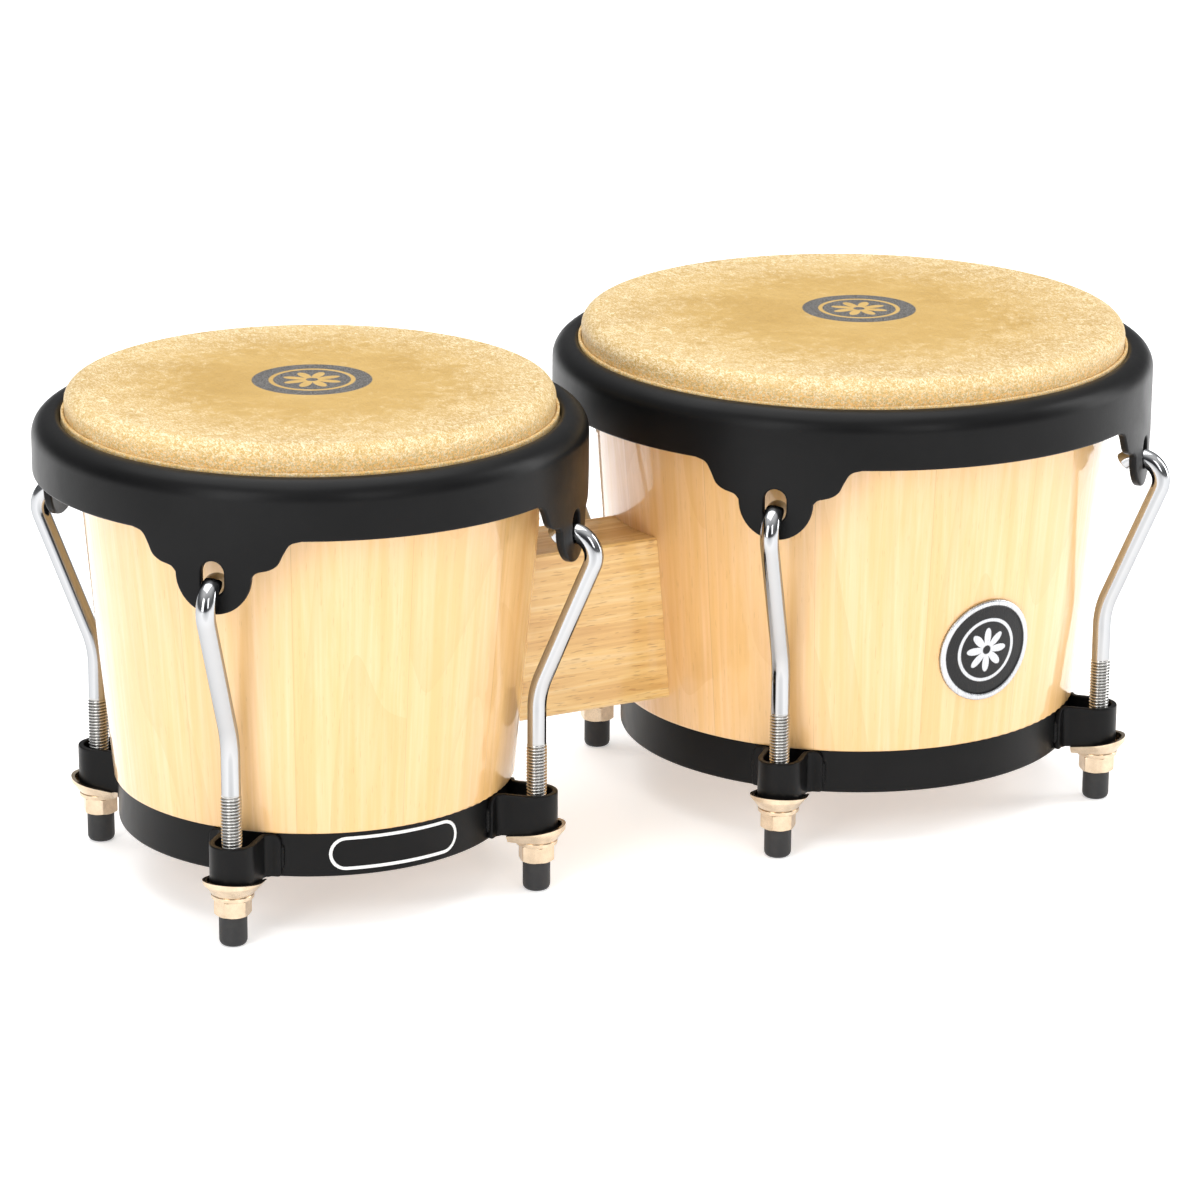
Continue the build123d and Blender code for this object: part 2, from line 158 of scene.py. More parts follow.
def lug_places(drum):
    """Each lug's number, foot and the angle it faces, from the joints its nuts turn on."""
    for number in range(1, 5):
        spot = Vector(spins[f"{drum['name']}_nut_{number}_turn"]["pos_m"])
        angle = math.atan2(spot.y, spot.x - drum["x"])
        yield number, Vector((spot.x, spot.y, 0)), angle


def band_radius(drum):
    """Outside radius of the band, clear of its brackets, found on its mesh."""
    mesh = frame["nodes"][f"{drum['name']}_band"].data
    along_x = [abs(v.co.x - drum["x"]) for v in mesh.vertices if abs(v.co.y) < 3 * MM]
    return max(along_x)


# ------------------------------------------------------------ mesh building


def new_piece(name, points, faces, place=None):
    """A smooth-shaded mesh object from points and faces, its normals outwards."""
    mesh = bpy.data.meshes.new(name)
    mesh.from_pydata(points, [], faces)
    work = bmesh.new()
    work.from_mesh(mesh)
    bmesh.ops.remove_doubles(work, verts=work.verts, dist=2e-6)
    bmesh.ops.dissolve_degenerate(work, edges=work.edges, dist=1e-7)
    bmesh.ops.recalc_face_normals(work, faces=work.faces)
    work.to_mesh(mesh)
    work.free()
    mesh.shade_smooth()
    piece = bpy.data.objects.new(name, mesh)
    bpy.context.scene.collection.objects.link(piece)
    if place is not None:
        piece.matrix_world = place
    return piece


def even_shading(piece):
    """Let large faces set the shading beside their rounded edges."""
    weights = piece.modifiers.new("even_shading", "WEIGHTED_NORMAL")
    weights.keep_sharp = True
    return piece


def rounded(points, radius, steps=4):
    """A closed outline with its corners rounded, each by a radius or all by one."""
    made = []
    count = len(points)
    for i, point in enumerate(points):
        size = radius[i] if isinstance(radius, (list, tuple)) else radius
        corner = Vector(point)
        if size <= 0:
            made.append(corner)
            continue
        before = Vector(points[i - 1]) - corner
        after = Vector(points[(i + 1) % count]) - corner
        cut = min(size, 0.48 * before.length, 0.48 * after.length)
        start = corner + before.normalized() * cut
        end = corner + after.normalized() * cut
        for k in range(steps + 1):
            t = k / steps
            made.append((1 - t) ** 2 * start + 2 * t * (1 - t) * corner + t * t * end)
    return made


def arc(centre, radius, start, end, steps):
    """Points along an arc, in degrees from the first axis."""
    made = []
    for k in range(steps + 1):
        a = math.radians(start + (end - start) * k / steps)
        made.append(Vector((centre[0] + radius * math.cos(a), centre[1] + radius * math.sin(a))))
    return made


def turned(outline, x, closed=True, turns=192, wobble=None):
    """Points and faces of an outline of radius and height turned round an upright axis."""
    points = []
    for i in range(turns):
        a = 2 * math.pi * i / turns
        for radius, height in outline:
            lift = wobble(a, radius, height) if wobble else (0, 0)
            r = max(radius + lift[0], 0)
            points.append((x + r * math.cos(a), r * math.sin(a), height + lift[1]))
    return points, between_columns(turns, len(outline), closed)


def between_columns(columns, rows, closed=True):
    """Faces joining each column of points to the next, all the way round."""
    faces = []
    for i in range(columns):
        here, there = i * rows, (i + 1) % columns * rows
        for j in range(rows if closed else rows - 1):
            k = (j + 1) % rows
            faces.append((here + j, there + j, there + k, here + k))
    return faces


def between_rings(rings, around):
    """Faces joining each ring of points to the next."""
    faces = []
    for j in range(rings - 1):
        for i in range(around):
            here, there = j * around, (j + 1) * around
            k = (i + 1) % around
            faces.append((here + i, here + k, there + k, there + i))
    return faces


def inside(point, loop):
    """Whether a flat point lies within a closed loop."""
    hit = False
    x, y = point
    for (ax, ay), (bx, by) in zip(loop, loop[1:] + loop[:1]):
        if (ay > y) != (by > y) and x < (bx - ax) * (y - ay) / (by - ay) + ax:
            hit = not hit
    return hit


def normals_along(line, closed):
    """Unit normals to the right of a flat line, at each of its points."""
    made = []
    count = len(line)
    for i in range(count):
        before = line[i - 1] if closed or i > 0 else line[i]
        after = line[(i + 1) % count] if closed or i < count - 1 else line[i]
        run = (after - before).normalized()
        made.append(Vector((run.y, -run.x)))
    return made


def edge_section(thickness, edge, steps=3):
    """How far out and how deep a rounded sheet edge runs, from face to face."""
    near = []
    for k in range(steps + 1):
        a = math.pi / 2 * k / steps
        near.append((edge * math.sin(a), edge * (1 - math.cos(a))))
    return near + [(out, thickness - deep) for out, deep in reversed(near)]


def formed_sheet(free_edges, joined_edge, bend, thickness, edge, pitch):
    """Points and faces of a bent sheet. The free edges, the first of them the outside, are
    rounded. The joined edge closes the outside round to where another sheet goes on."""
    inner_loops = []
    for line, closed in free_edges:
        out = normals_along(line, closed)
        inner_loops.append([p - n * edge for p, n in zip(line, out)])
    boundary = inner_loops[0] + joined_edge
    flat = list(boundary)
    wires = [(i, (i + 1) % len(boundary)) for i in range(len(boundary))]
    for loop in inner_loops[1:]:
        first = len(flat)
        flat += loop
        wires += [(first + i, first + (i + 1) % len(loop)) for i in range(len(loop))]
    xs, ys = [p[0] for p in boundary], [p[1] for p in boundary]
    left, width = min(xs), max(xs) - min(xs)
    bottom, height = min(ys), max(ys) - min(ys)
    across = max(int(width / pitch), 2)
    upward = max(int(height / pitch), 2)
    rims = [list(map(tuple, boundary))] + [list(map(tuple, loop)) for loop in inner_loops[1:]]
    known = [Vector(p) for p in flat]
    for i in range(1, across):
        for j in range(1, upward):
            p = Vector((left + width * i / across, bottom + height * j / upward))
            if not inside(p, rims[0]) or any(inside(p, hole) for hole in rims[1:]):
                continue
            if min((p - q).length_squared for q in known) > (0.45 * pitch) ** 2:
                flat.append(p)
    verts, _, triangles, *_ = delaunay_2d_cdt([Vector(p[:2]) for p in flat], wires, [], 0, 1e-9)
    kept = []
    for face in triangles:
        middle = sum((verts[i] for i in face), Vector((0, 0))) / len(face)
        if inside(middle, rims[0]) and not any(inside(middle, hole) for hole in rims[1:]):
            kept.append(face)
    points = [bend(p.x, p.y, 0.0) for p in verts] + [bend(p.x, p.y, thickness) for p in verts]
    faces = [tuple(face) for face in kept]
    faces += [tuple(len(verts) + i for i in reversed(face)) for face in kept]
    section = edge_section(thickness, edge)
    for (line, closed), loop in zip(free_edges, inner_loops):
        out = normals_along(line, closed)
        first = len(points)
        for p, n in zip(loop, out):
            for reach, depth in section:
                q = p + n * reach
                points.append(bend(q.x, q.y, depth))
        rows = len(section)
        for i in range(len(line) if closed else len(line) - 1):
            here, there = first + i * rows, first + (i + 1) % len(line) * rows
            for j in range(rows - 1):
                faces.append((here + j, there + j, there + j + 1, here + j + 1))
    return points, faces


def joined(parts):
    """Several sets of points and faces as one."""
    points, faces = [], []
    for more_points, more_faces in parts:
        first = len(points)
        points += [tuple(p) for p in more_points]
        faces += [tuple(first + i for i in face) for face in more_faces]
    return points, faces


def smooth_line(points, steps=5):
    """A curve through the points, rounded between them."""
    made = []
    ends = [points[0] * 2 - points[1]] + points + [points[-1] * 2 - points[-2]]
    for a, b, c, d in zip(ends, ends[1:], ends[2:], ends[3:]):
        for k in range(steps):
            t = k / steps
            square = (2 * a - 5 * b + 4 * c - d) * t**2
            cube = (3 * b - a - 3 * c + d) * t**3
            made.append(0.5 * (2 * b + (c - a) * t + square + cube))
    return made + [points[-1]]


def finished(piece, body, slot, material, *nodes):
    """Give a made piece its finish, its body and the CAD nodes it stands for."""
    piece.data.materials.clear()
    piece.data.materials.append(material)
    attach(piece, body)
    if nodes:
        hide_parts(*nodes)
    return piece


# --------------------------------------------------------- material helpers


def put(tree, kind, links=None, **settings):
    """Add a shader node. links maps an input to a value or to an output."""
    made = tree.nodes.new(kind)
    for key, value in settings.items():
        setattr(made, key, value)
    for key, value in (links or {}).items():
        if isinstance(value, bpy.types.NodeSocket):
            tree.links.new(value, made.inputs[key])
        else:
            made.inputs[key].default_value = value
    return made


def calc(tree, operation, *values):
    """A number worked out from others."""
    return put(tree, "ShaderNodeMath", dict(enumerate(values)), operation=operation).outputs[0]


def times(tree, first, second):
    return calc(tree, "MULTIPLY", first, second)


def plus(tree, first, second):
    return calc(tree, "ADD", first, second)


def minus(tree, first, second):
    return calc(tree, "SUBTRACT", first, second)


def split(tree, vector):
    """A vector's three parts."""
    return put(tree, "ShaderNodeSeparateXYZ", {0: vector}).outputs


def flat_vector(tree, across, up):
    """A vector with nothing along its third part."""
    return put(tree, "ShaderNodeCombineXYZ", {0: across, 1: up}).outputs[0]


def length(tree, vector):
    return put(tree, "ShaderNodeVectorMath", {0: vector}, operation="LENGTH").outputs[1]


def spread(tree, value, low, high, to_low=0.0, to_high=1.0):
    """A number moved from one range to another and kept inside it."""
    made = put(tree, "ShaderNodeMapRange", {0: value, 1: low, 2: high, 3: to_low, 4: to_high})
    return made.outputs[0]


def blend_colours(tree, factor, first, second, mode="MIX"):
    made = put(tree, "ShaderNodeMix", {0: factor, 6: first, 7: second}, data_type="RGBA", blend_type=mode)
    return made.outputs[2]


def stain(tree, ground, colour, mask, strength):
    """A second colour laid over the ground where the mask is strong."""
    return blend_colours(tree, times(tree, mask, strength), ground, (*colour, 1))


def noise_at(tree, vector, scale, detail=3.0, roughness=0.55, distortion=0.0):
    links = {"Vector": vector, "Scale": scale, "Detail": detail}
    links |= {"Roughness": roughness, "Distortion": distortion}
    return put(tree, "ShaderNodeTexNoise", links).outputs[0]


def stretch(tree, vector, scale, offset=(0, 0, 0)):
    return put(tree, "ShaderNodeMapping", {"Vector": vector, "Location": offset, "Scale": scale}).outputs[0]


def bump(tree, height, distance, strength=1.0, under=None):
    links = {"Height": height, "Distance": distance, "Strength": strength}
    if under is not None:
        links["Normal"] = under
    return put(tree, "ShaderNodeBump", links).outputs[0]


def ramp(tree, value, *stops):
    """Colours along a value, each stop a place and a colour."""
    made = put(tree, "ShaderNodeValToRGB", {0: value})
    elements = made.color_ramp.elements
    while len(elements) < len(stops):
        elements.new(0.5)
    for element, (place, colour) in zip(elements, stops):
        element.position = place
        element.color = (*colour, 1)
    return made.outputs[0]


def new_material(name, **values):
    """A material, its tree, its shader and its object coordinates."""
    made = bpy.data.materials.new(name)
    made.use_nodes = True
    tree = made.node_tree
    shader = tree.nodes["Principled BSDF"]
    for key, value in values.items():
        shader.inputs[key.replace("_", " ")].default_value = value
    return made, tree, shader, put(tree, "ShaderNodeTexCoord").outputs["Object"]


def surface(tree, shader, colour, roughness, height, distance, strength):
    """Give a shader its colour, its roughness and a fine relief."""
    tree.links.new(colour, shader.inputs["Base Color"])
    tree.links.new(roughness, shader.inputs["Roughness"])
    tree.links.new(bump(tree, height, distance, strength), shader.inputs["Normal"])


def new_group(name, inputs, outputs):
    """A node group with named sockets, and its tree's own input and output nodes."""
    made = bpy.data.node_groups.new(name, "ShaderNodeTree")
    kinds = {"value": "NodeSocketFloat", "colour": "NodeSocketColor", "vector": "NodeSocketVector"}
    for socket, kind in inputs.items():
        made.interface.new_socket(socket, in_out="INPUT", socket_type=kinds[kind])
    for socket, kind in outputs.items():
        made.interface.new_socket(socket, in_out="OUTPUT", socket_type=kinds[kind])
    return made, put(made, "NodeGroupInput").outputs, put(made, "NodeGroupOutput").inputs


def use_group(tree, group, links):
    """Place a node group with its own values, and give its outputs."""
    return put(tree, "ShaderNodeGroup", links, node_tree=group).outputs


# ------------------------------------------------------------ shared effects


def make_wood_figure():
    """Hardwood figure along the vector's Z: streaks, fibres, growth rings and short open pores."""
    tree, take, give = new_group(
        "wood_figure",
        {"Vector": "vector", "Board": "value", "Closed": "value"},
        {"Streaks": "value", "Fibres": "value", "Pores": "value", "Rings": "value"},
    )
    board_step = take["Board"]
    shift = put(tree, "ShaderNodeCombineXYZ", {0: board_step, 1: board_step, 2: board_step}).outputs[0]
    board = put(tree, "ShaderNodeVectorMath", {0: take["Vector"], 1: shift}, operation="ADD").outputs[0]
    broad = noise_at(tree, stretch(tree, board, (1, 1, 0.05)), 230, 4, 0.6, 0.5)
    fine = noise_at(tree, stretch(tree, board, (1, 1, 0.022)), 720, 4, 0.65)
    speck = noise_at(tree, stretch(tree, board, (1, 1, 0.1)), 1700, 1, 0.5)
    growth = noise_at(tree, stretch(tree, board, (1, 1, 0.2)), 13, 1, 0.4, 0.3)
    wave = calc(tree, "FRACT", times(tree, growth, 11.0))
    tree.links.new(spread(tree, broad, 0.36, 0.64), give["Streaks"])
    tree.links.new(spread(tree, fine, 0.36, 0.64), give["Fibres"])
    open_pore = plus(tree, take["Closed"], 0.07)
    tree.links.new(spread(tree, speck, take["Closed"], open_pore), give["Pores"])
    tree.links.new(calc(tree, "POWER", wave, 3.0), give["Rings"])
    return tree


def make_handling_marks():
    """Uneven sheen: soft smudges and faint fine scratches, for plated and painted metal."""
    tree, take, give = new_group(
        "handling_marks",
        {"Vector": "vector", "Least": "value", "Most": "value"},
        {"Roughness": "value"},
    )
    smudge = noise_at(tree, take["Vector"], 45, 4, 0.6, 0.4)
    scratch = noise_at(tree, stretch(tree, take["Vector"], (1, 1, 0.06)), 1800, 2, 0.5)
    blend = plus(tree, times(tree, smudge, 0.75), times(tree, scratch, 0.25))
    tree.links.new(spread(tree, blend, 0.3, 0.7, take["Least"], take["Most"]), give["Roughness"])
    return tree


def make_round_mark():
    """A plain printed roundel: a disc with a bare ring and a bare eight-petal rosette in it.
    The vector is flat, with its middle at zero and the disc's edge at one."""
    tree, take, give = new_group("round_mark", {"Vector": "vector"}, {"Disc": "value", "Figure": "value"})
    parts = split(tree, take["Vector"])
    flat = flat_vector(tree, parts[0], parts[1])
    reach = length(tree, flat)
    angle = calc(tree, "ARCTAN2", parts[1], parts[0])
    petals = calc(tree, "ABSOLUTE", calc(tree, "COSINE", times(tree, angle, 4.0)))
    petal_edge = spread(tree, petals, 0.0, 1.0, 0.16, 0.5)
    rosette = spread(tree, minus(tree, petal_edge, reach), -0.01, 0.01)
    eye = spread(tree, reach, 0.09, 0.11)
    ring = spread(tree, calc(tree, "ABSOLUTE", minus(tree, reach, 0.68)), 0.045, 0.03)
    figure = calc(tree, "MAXIMUM", times(tree, rosette, eye), ring)
    tree.links.new(spread(tree, reach, 1.005, 0.985), give["Disc"])
    tree.links.new(figure, give["Figure"])
    return tree


wood_figure = make_wood_figure()
handling_marks = make_handling_marks()
round_mark = make_round_mark()


# ----------------------------------------------------------------- materials


def shell_wood(drum):
    """Pale lacquered staves glued edge to edge, bare and duller inside."""
    made, tree, shader, place = new_material(f"{drum['name']}_shell_wood", Coat_Roughness=0.03)
    staves = 12 if drum["name"] == "macho" else 14
    centred = stretch(tree, place, (1, 1, 1), (-drum["x"], 0, 0))
    parts = split(tree, centred)
    turn = calc(tree, "ARCTAN2", parts[1], parts[0])
    stave = times(tree, turn, staves / (2 * math.pi))
    board = calc(tree, "FLOOR", stave)
    tone = put(tree, "ShaderNodeTexWhiteNoise", {"W": board}, noise_dimensions="1D").outputs[0]
    along_joint = calc(tree, "ABSOLUTE", minus(tree, calc(tree, "FRACT", stave), 0.5))
    joint = spread(tree, along_joint, 0.4965, 0.4995)
    across = times(tree, turn, drum["head_edge"])
    flat = put(tree, "ShaderNodeCombineXYZ", {0: across, 1: 0.0, 2: parts[2]}).outputs[0]
    figure = use_group(tree, wood_figure, {"Vector": flat, "Board": tone, "Closed": 0.67})
    streaks = plus(tree, times(tree, figure["Streaks"], 0.6), times(tree, tone, 0.4))
    ground = ramp(
        tree,
        streaks,
        (0.0, (0.80, 0.48, 0.17)),
        (0.35, (0.84, 0.525, 0.22)),
        (0.7, (0.88, 0.575, 0.29)),
        (1.0, (0.91, 0.625, 0.36)),
    )
    fibre = stain(tree, ground, (0.74, 0.45, 0.17), figure["Fibres"], 0.38)
    ringed = stain(tree, fibre, (0.72, 0.40, 0.13), figure["Rings"], 0.3)
    pored = stain(tree, ringed, (0.50, 0.27, 0.08), figure["Pores"], 0.3)
    warm = noise_at(tree, stretch(tree, flat, (1, 1, 0.1)), 26, 2)
    stained = blend_colours(tree, spread(tree, warm, 0.62, 0.78, 0.0, 0.35), pored, (0.55, 0.29, 0.09, 1))
    glued = stain(tree, stained, (0.36, 0.19, 0.06), joint, 0.45)
    reach = length(tree, flat_vector(tree, parts[0], parts[1]))
    wall_at_floor = drum["wall_at_foot"] - drum["flare"] * drum["band_top"]
    skin_line = plus(tree, wall_at_floor, times(tree, parts[2], drum["flare"]))
    outside = spread(tree, minus(tree, reach, skin_line), -0.0015, -0.0005)
    bare = blend_colours(tree, outside, blend_colours(tree, 0.5, glued, (0.66, 0.47, 0.25, 1)), glued)
    lacquer_rough = spread(tree, noise_at(tree, place, 60, 3), 0.3, 0.7, 0.34, 0.46)
    bare_rough = times(tree, minus(tree, 1.0, outside), 0.3)
    tree.links.new(outside, shader.inputs["Coat Weight"])
    relief = minus(tree, times(tree, figure["Fibres"], 0.4), figure["Pores"])
    surface(tree, shader, bare, plus(tree, lacquer_rough, bare_rough), relief, 0.06 * MM, 0.5)
    return made


def block_wood():
    """Warmer hardwood with its grain running from drum to drum, under a clear finish."""
    made, tree, shader, place = new_material("block_wood", Coat_Weight=0.7, Coat_Roughness=0.08)
    parts = split(tree, place)
    lengthwise = put(tree, "ShaderNodeCombineXYZ", {0: parts[1], 1: parts[2], 2: parts[0]}).outputs[0]
    figure = use_group(tree, wood_figure, {"Vector": lengthwise, "Board": 0.37, "Closed": 0.62})
    ground = ramp(
        tree,
        figure["Streaks"],
        (0.0, (0.74, 0.43, 0.135)),
        (0.5, (0.89, 0.59, 0.215)),
        (1.0, (0.94, 0.69, 0.32)),
    )
    fibre = stain(tree, ground, (0.64, 0.34, 0.10), figure["Fibres"], 0.35)
    pored = stain(tree, fibre, (0.42, 0.18, 0.05), figure["Pores"], 0.5)
    sheen = spread(tree, noise_at(tree, place, 80, 3), 0.3, 0.7, 0.3, 0.45)
    relief = minus(tree, times(tree, figure["Fibres"], 0.4), figure["Pores"])
    surface(tree, shader, pored, sheen, relief, 0.1 * MM, 0.6)
    return made


def rawhide(drum, print_place):
    """Golden translucent skin, clouded and scuffed white towards its edge, with a worn printed roundel."""
    made, tree, shader, place = new_material(f"{drum['name']}_rawhide", IOR=1.45, Coat_Roughness=0.35)
    centred = stretch(tree, place, (1, 1, 1), (-drum["x"], 0, 0))
    parts = split(tree, centred)
    flat = flat_vector(tree, parts[0], parts[1])
    reach = length(tree, flat)
    share = calc(tree, "DIVIDE", reach, drum["head_edge"])
    clouds = noise_at(tree, centred, 22, 4, 0.6, 0.5)
    mottle = noise_at(tree, centred, 190, 5, 0.65, 0.8)
    fibres = noise_at(tree, stretch(tree, centred, (1, 0.4, 1)), 1300, 5, 0.75, 1.4)
    specks = noise_at(tree, centred, 1400, 2, 0.5)
    ground = ramp(
        tree,
        clouds,
        (0.3, (0.51, 0.315, 0.085)),
        (0.5, (0.57, 0.365, 0.11)),
        (0.72, (0.63, 0.42, 0.145)),
    )
    edge = plus(tree, spread(tree, share, 0.4, 1.0, -0.04, 0.6), times(tree, minus(tree, mottle, 0.5), 1.3))
    scuffed = times(tree, spread(tree, edge, 0.05, 0.6), spread(tree, fibres, 0.44, 0.6))
    pale = stain(tree, ground, (0.95, 0.83, 0.58), scuffed, 0.9)
    head_top = drum["head_top"]
    wall = spread(tree, parts[2], head_top - 1.2 * SHOULDER, head_top - 0.3 * SHOULDER, 1.0, 0.0)
    amber = times(tree, wall, spread(tree, specks, 0.46, 0.6))
    spotted = stain(tree, pale, (0.95, 0.55, 0.15), amber, 0.62)
    middle = tuple(-value for value in print_place)
    shift = (middle[0] / PRINT_RADIUS, middle[1] / PRINT_RADIUS, 0)
    disc_space = stretch(tree, centred, (1 / PRINT_RADIUS,) * 3, shift)
    mark = use_group(tree, round_mark, {"Vector": disc_space})
    worn = spread(tree, noise_at(tree, centred, 2300, 2, 0.6), 0.42, 0.56)
    top = spread(tree, parts[2], head_top - 0.4 * SHOULDER, head_top - 0.3 * SHOULDER)
    ink = times(tree, times(tree, mark["Disc"], minus(tree, 1.0, mark["Figure"])), top)
    ink_tone = ramp(tree, worn, (0.0, (0.20, 0.205, 0.21)), (1.0, (0.016, 0.019, 0.025)))
    inked = blend_colours(tree, times(tree, ink, 0.95), spotted, ink_tone)
    sheen = spread(tree, plus(tree, mottle, times(tree, scuffed, 0.3)), 0.35, 0.9, 0.36, 0.62)
    relief = plus(tree, times(tree, mottle, 0.7), times(tree, fibres, 0.5))
    surface(tree, shader, inked, sheen, relief, 0.4 * MM, 0.85)
    return made


def powder_coat():
    """Satin black powder coat, its fine orange peel softening the highlights."""
    made, tree, shader, place = new_material("black_powder_coat", IOR=1.24)
    marks = use_group(tree, handling_marks, {"Vector": place, "Least": 0.30, "Most": 0.42})
    tone = noise_at(tree, place, 30, 3)
    black = ramp(tree, tone, (0.3, (0.003, 0.003, 0.0032)), (0.7, (0.006, 0.006, 0.0063)))
    peel = noise_at(tree, place, 1500, 2, 0.5)
    surface(tree, shader, black, marks["Roughness"], peel, 0.04 * MM, 0.45)
    return made


def chrome_rod():
    """Bright plate with painted reflection bands and dark edges set by how squarely the rod faces the camera;
    on the rolled thread, painted shade in the roots, lighter crests, a little random grime and a duller
    sheen.
    """
    made, tree, shader, place = new_material("chrome_rod", Metallic=1.0)
    marks = use_group(tree, handling_marks, {"Vector": place, "Least": 0.06, "Most": 0.13})
    parts = split(tree, place)
    flat = flat_vector(tree, parts[0], parts[1])
    reach = length(tree, flat)
    threaded = spread(tree, parts[2], THREAD_END + 0.4 * MM, THREAD_END - 0.4 * MM)
    # Painted reflection: the rod's colour follows how squarely it faces the camera, dark face-on and at its
    # edges, with a bright band between.
    facing = put(tree, "ShaderNodeLayerWeight", {"Blend": 0.5}).outputs["Facing"]
    shank_painted_reflection = ramp(
        tree,
        facing,
        (0.0, (0.15, 0.155, 0.165)),
        (0.03, (0.34, 0.345, 0.355)),
        (0.1, (0.50, 0.505, 0.515)),
        (0.45, (0.42, 0.43, 0.445)),
        (0.8, (0.20, 0.21, 0.225)),
    )
    # Painted shade in the thread roots and a painted highlight on its crests, set by how far out the surface
    # reaches.
    crest = spread(tree, reach, THREAD_RADIUS - 0.9 * THREAD_DEPTH, THREAD_RADIUS - 0.25 * THREAD_DEPTH)
    thread = ramp(tree, crest, (0.0, (0.20, 0.195, 0.185)), (1.0, (0.60, 0.595, 0.58)))
    # Random grime laid over the painted thread shade.
    grime = spread(tree, noise_at(tree, place, 900, 3), 0.5, 0.75, 0.0, 0.3)
    grime_over_painted_shade = blend_colours(tree, grime, thread, (0.30, 0.28, 0.25, 1))
    colour = blend_colours(tree, threaded, shank_painted_reflection, grime_over_painted_shade)
    sheen = plus(tree, marks["Roughness"], times(tree, threaded, 0.14))
    surface(tree, shader, colour, sheen, noise_at(tree, place, 160, 2), 0.02 * MM, 0.3)
    return made


def warm_plate(name, light, dark, least, most):
    """Plated steel with turning marks and a little uneven sheen."""
    made, tree, shader, place = new_material(name, Metallic=1.0)
    marks = use_group(tree, handling_marks, {"Vector": place, "Least": least, "Most": most})
    tone = noise_at(tree, place, 260, 3, 0.6)
    colour = ramp(tree, tone, (0.3, dark), (0.7, light))
    surface(tree, shader, colour, marks["Roughness"], noise_at(tree, place, 2200, 2), 0.02 * MM, 0.4)
    return made


def moulded_rubber():
    """Matt black rubber, faintly grained and dusty."""
    made, tree, shader, place = new_material("moulded_rubber")
    dust = spread(tree, noise_at(tree, place, 240, 4, 0.7), 0.45, 0.8)
    black = ramp(tree, dust, (0.0, (0.011, 0.011, 0.012)), (1.0, (0.032, 0.031, 0.030)))
    sheen = spread(tree, dust, 0.0, 1.0, 0.52, 0.78)
    surface(tree, shader, black, sheen, noise_at(tree, place, 1900, 3), 0.06 * MM, 0.5)
    return made


def white_print():
    """Screen-printed white ink, a little thin in places."""
    made, tree, shader, place = new_material("white_print")
    thin = noise_at(tree, place, 1300, 3, 0.6)
    ink = ramp(tree, thin, (0.25, (0.62, 0.62, 0.61)), (0.5, (0.84, 0.84, 0.83)))
    surface(tree, shader, ink, spread(tree, thin, 0.3, 0.7, 0.4, 0.55), thin, 0.01 * MM, 0.3)
    return made


def badge_metal(centre, out):
    """Black enamel with a bright figure inside a bright brushed ring."""
    made, tree, shader, place = new_material("badge_metal", IOR=1.3, Coat_Weight=0.15, Coat_Roughness=0.08)
    side = Vector((-out.y, out.x, 0))
    moved = put(tree, "ShaderNodeVectorMath", {0: place, 1: centre}, operation="SUBTRACT").outputs[0]
    across = put(tree, "ShaderNodeVectorMath", {0: moved, 1: side}, operation="DOT_PRODUCT").outputs[1]
    height = split(tree, moved)[2]
    flat = flat_vector(tree, across, height)
    disc_space = stretch(tree, flat, (1 / BADGE_DISC,) * 3)
    mark = use_group(tree, round_mark, {"Vector": disc_space})
    reach = length(tree, flat)
    ring = spread(tree, reach, BADGE_DISC + 0.1 * MM, BADGE_DISC + 0.3 * MM)
    bright = calc(tree, "MAXIMUM", times(tree, mark["Figure"], mark["Disc"]), ring)
    brushed = noise_at(tree, stretch(tree, flat, (1, 0.04, 1)), 2400, 2)
    silver = ramp(tree, brushed, (0.3, (0.46, 0.47, 0.49)), (0.7, (0.62, 0.63, 0.65)))
    colour = blend_colours(tree, bright, (0.008, 0.008, 0.009, 1), silver)
    tree.links.new(bright, shader.inputs["Metallic"])
    surface(tree, shader, colour, spread(tree, brushed, 0.3, 0.7, 0.22, 0.34), bright, 0.12 * MM, 0.6)
    return made


def studio_floor():
    """Matt white floor."""
    made, tree, shader, place = new_material("studio_floor", Roughness=0.8, Emission_Strength=0.46)
    tone = noise_at(tree, place, 3, 2)
    white = ramp(tree, tone, (0.3, (0.90, 0.90, 0.90)), (0.7, (0.92, 0.92, 0.92)))
    tree.links.new(white, shader.inputs["Base Color"])
    shader.inputs["Emission Color"].default_value = (1, 1, 1, 1)
    return made


# -------------------------------------------------------------------- pieces


def ear_line(drum):
    """Bottom edge of a quarter of the rim, left to right: skirt, ogee, lobe, ogee, skirt.
    Across is measured round the rim from the middle of the ear."""
    lobe_height = drum["ear_bottom"] + EAR_LOBE
    skirt = drum["rim_top"] - RIM_DEPTH
    quarter = math.pi / 2 * drum["rim"] / 2
    ogee = [Vector((across * MM, lobe_height + up * MM)) for across, up in EAR_OGEE]
    ogee[-1].y = skirt
    curve = smooth_line(ogee, 5)
    run = [Vector((EAR_SHOULDER + (quarter - EAR_SHOULDER) * k / 14, skirt)) for k in range(1, 15)]
    right = curve + run
    left = [Vector((-p.x, p.y)) for p in reversed(right)]
    lobe = []
    for k in range(1, 24):
        a = math.pi * (k / 24 - 0.5)
        lobe.append(Vector((EAR_LOBE * math.sin(a), lobe_height - EAR_LOBE * math.cos(a))))
    return left + lobe + right


def slot_line():
    """The slot in an ear, its bottom just below the hook, as a closed loop running clockwise."""
    bottom = HOOK_HEIGHT + HOOK_RADIUS - SHANK_RADIUS - 0.6 * MM
    half = SLOT_WIDTH / 2
    low = arc((0, bottom + half), half, 180, 360, 14)
    high = arc((0, bottom + SLOT_HEIGHT - half), half, 0, 180, 14)
    return list(reversed(low + high))


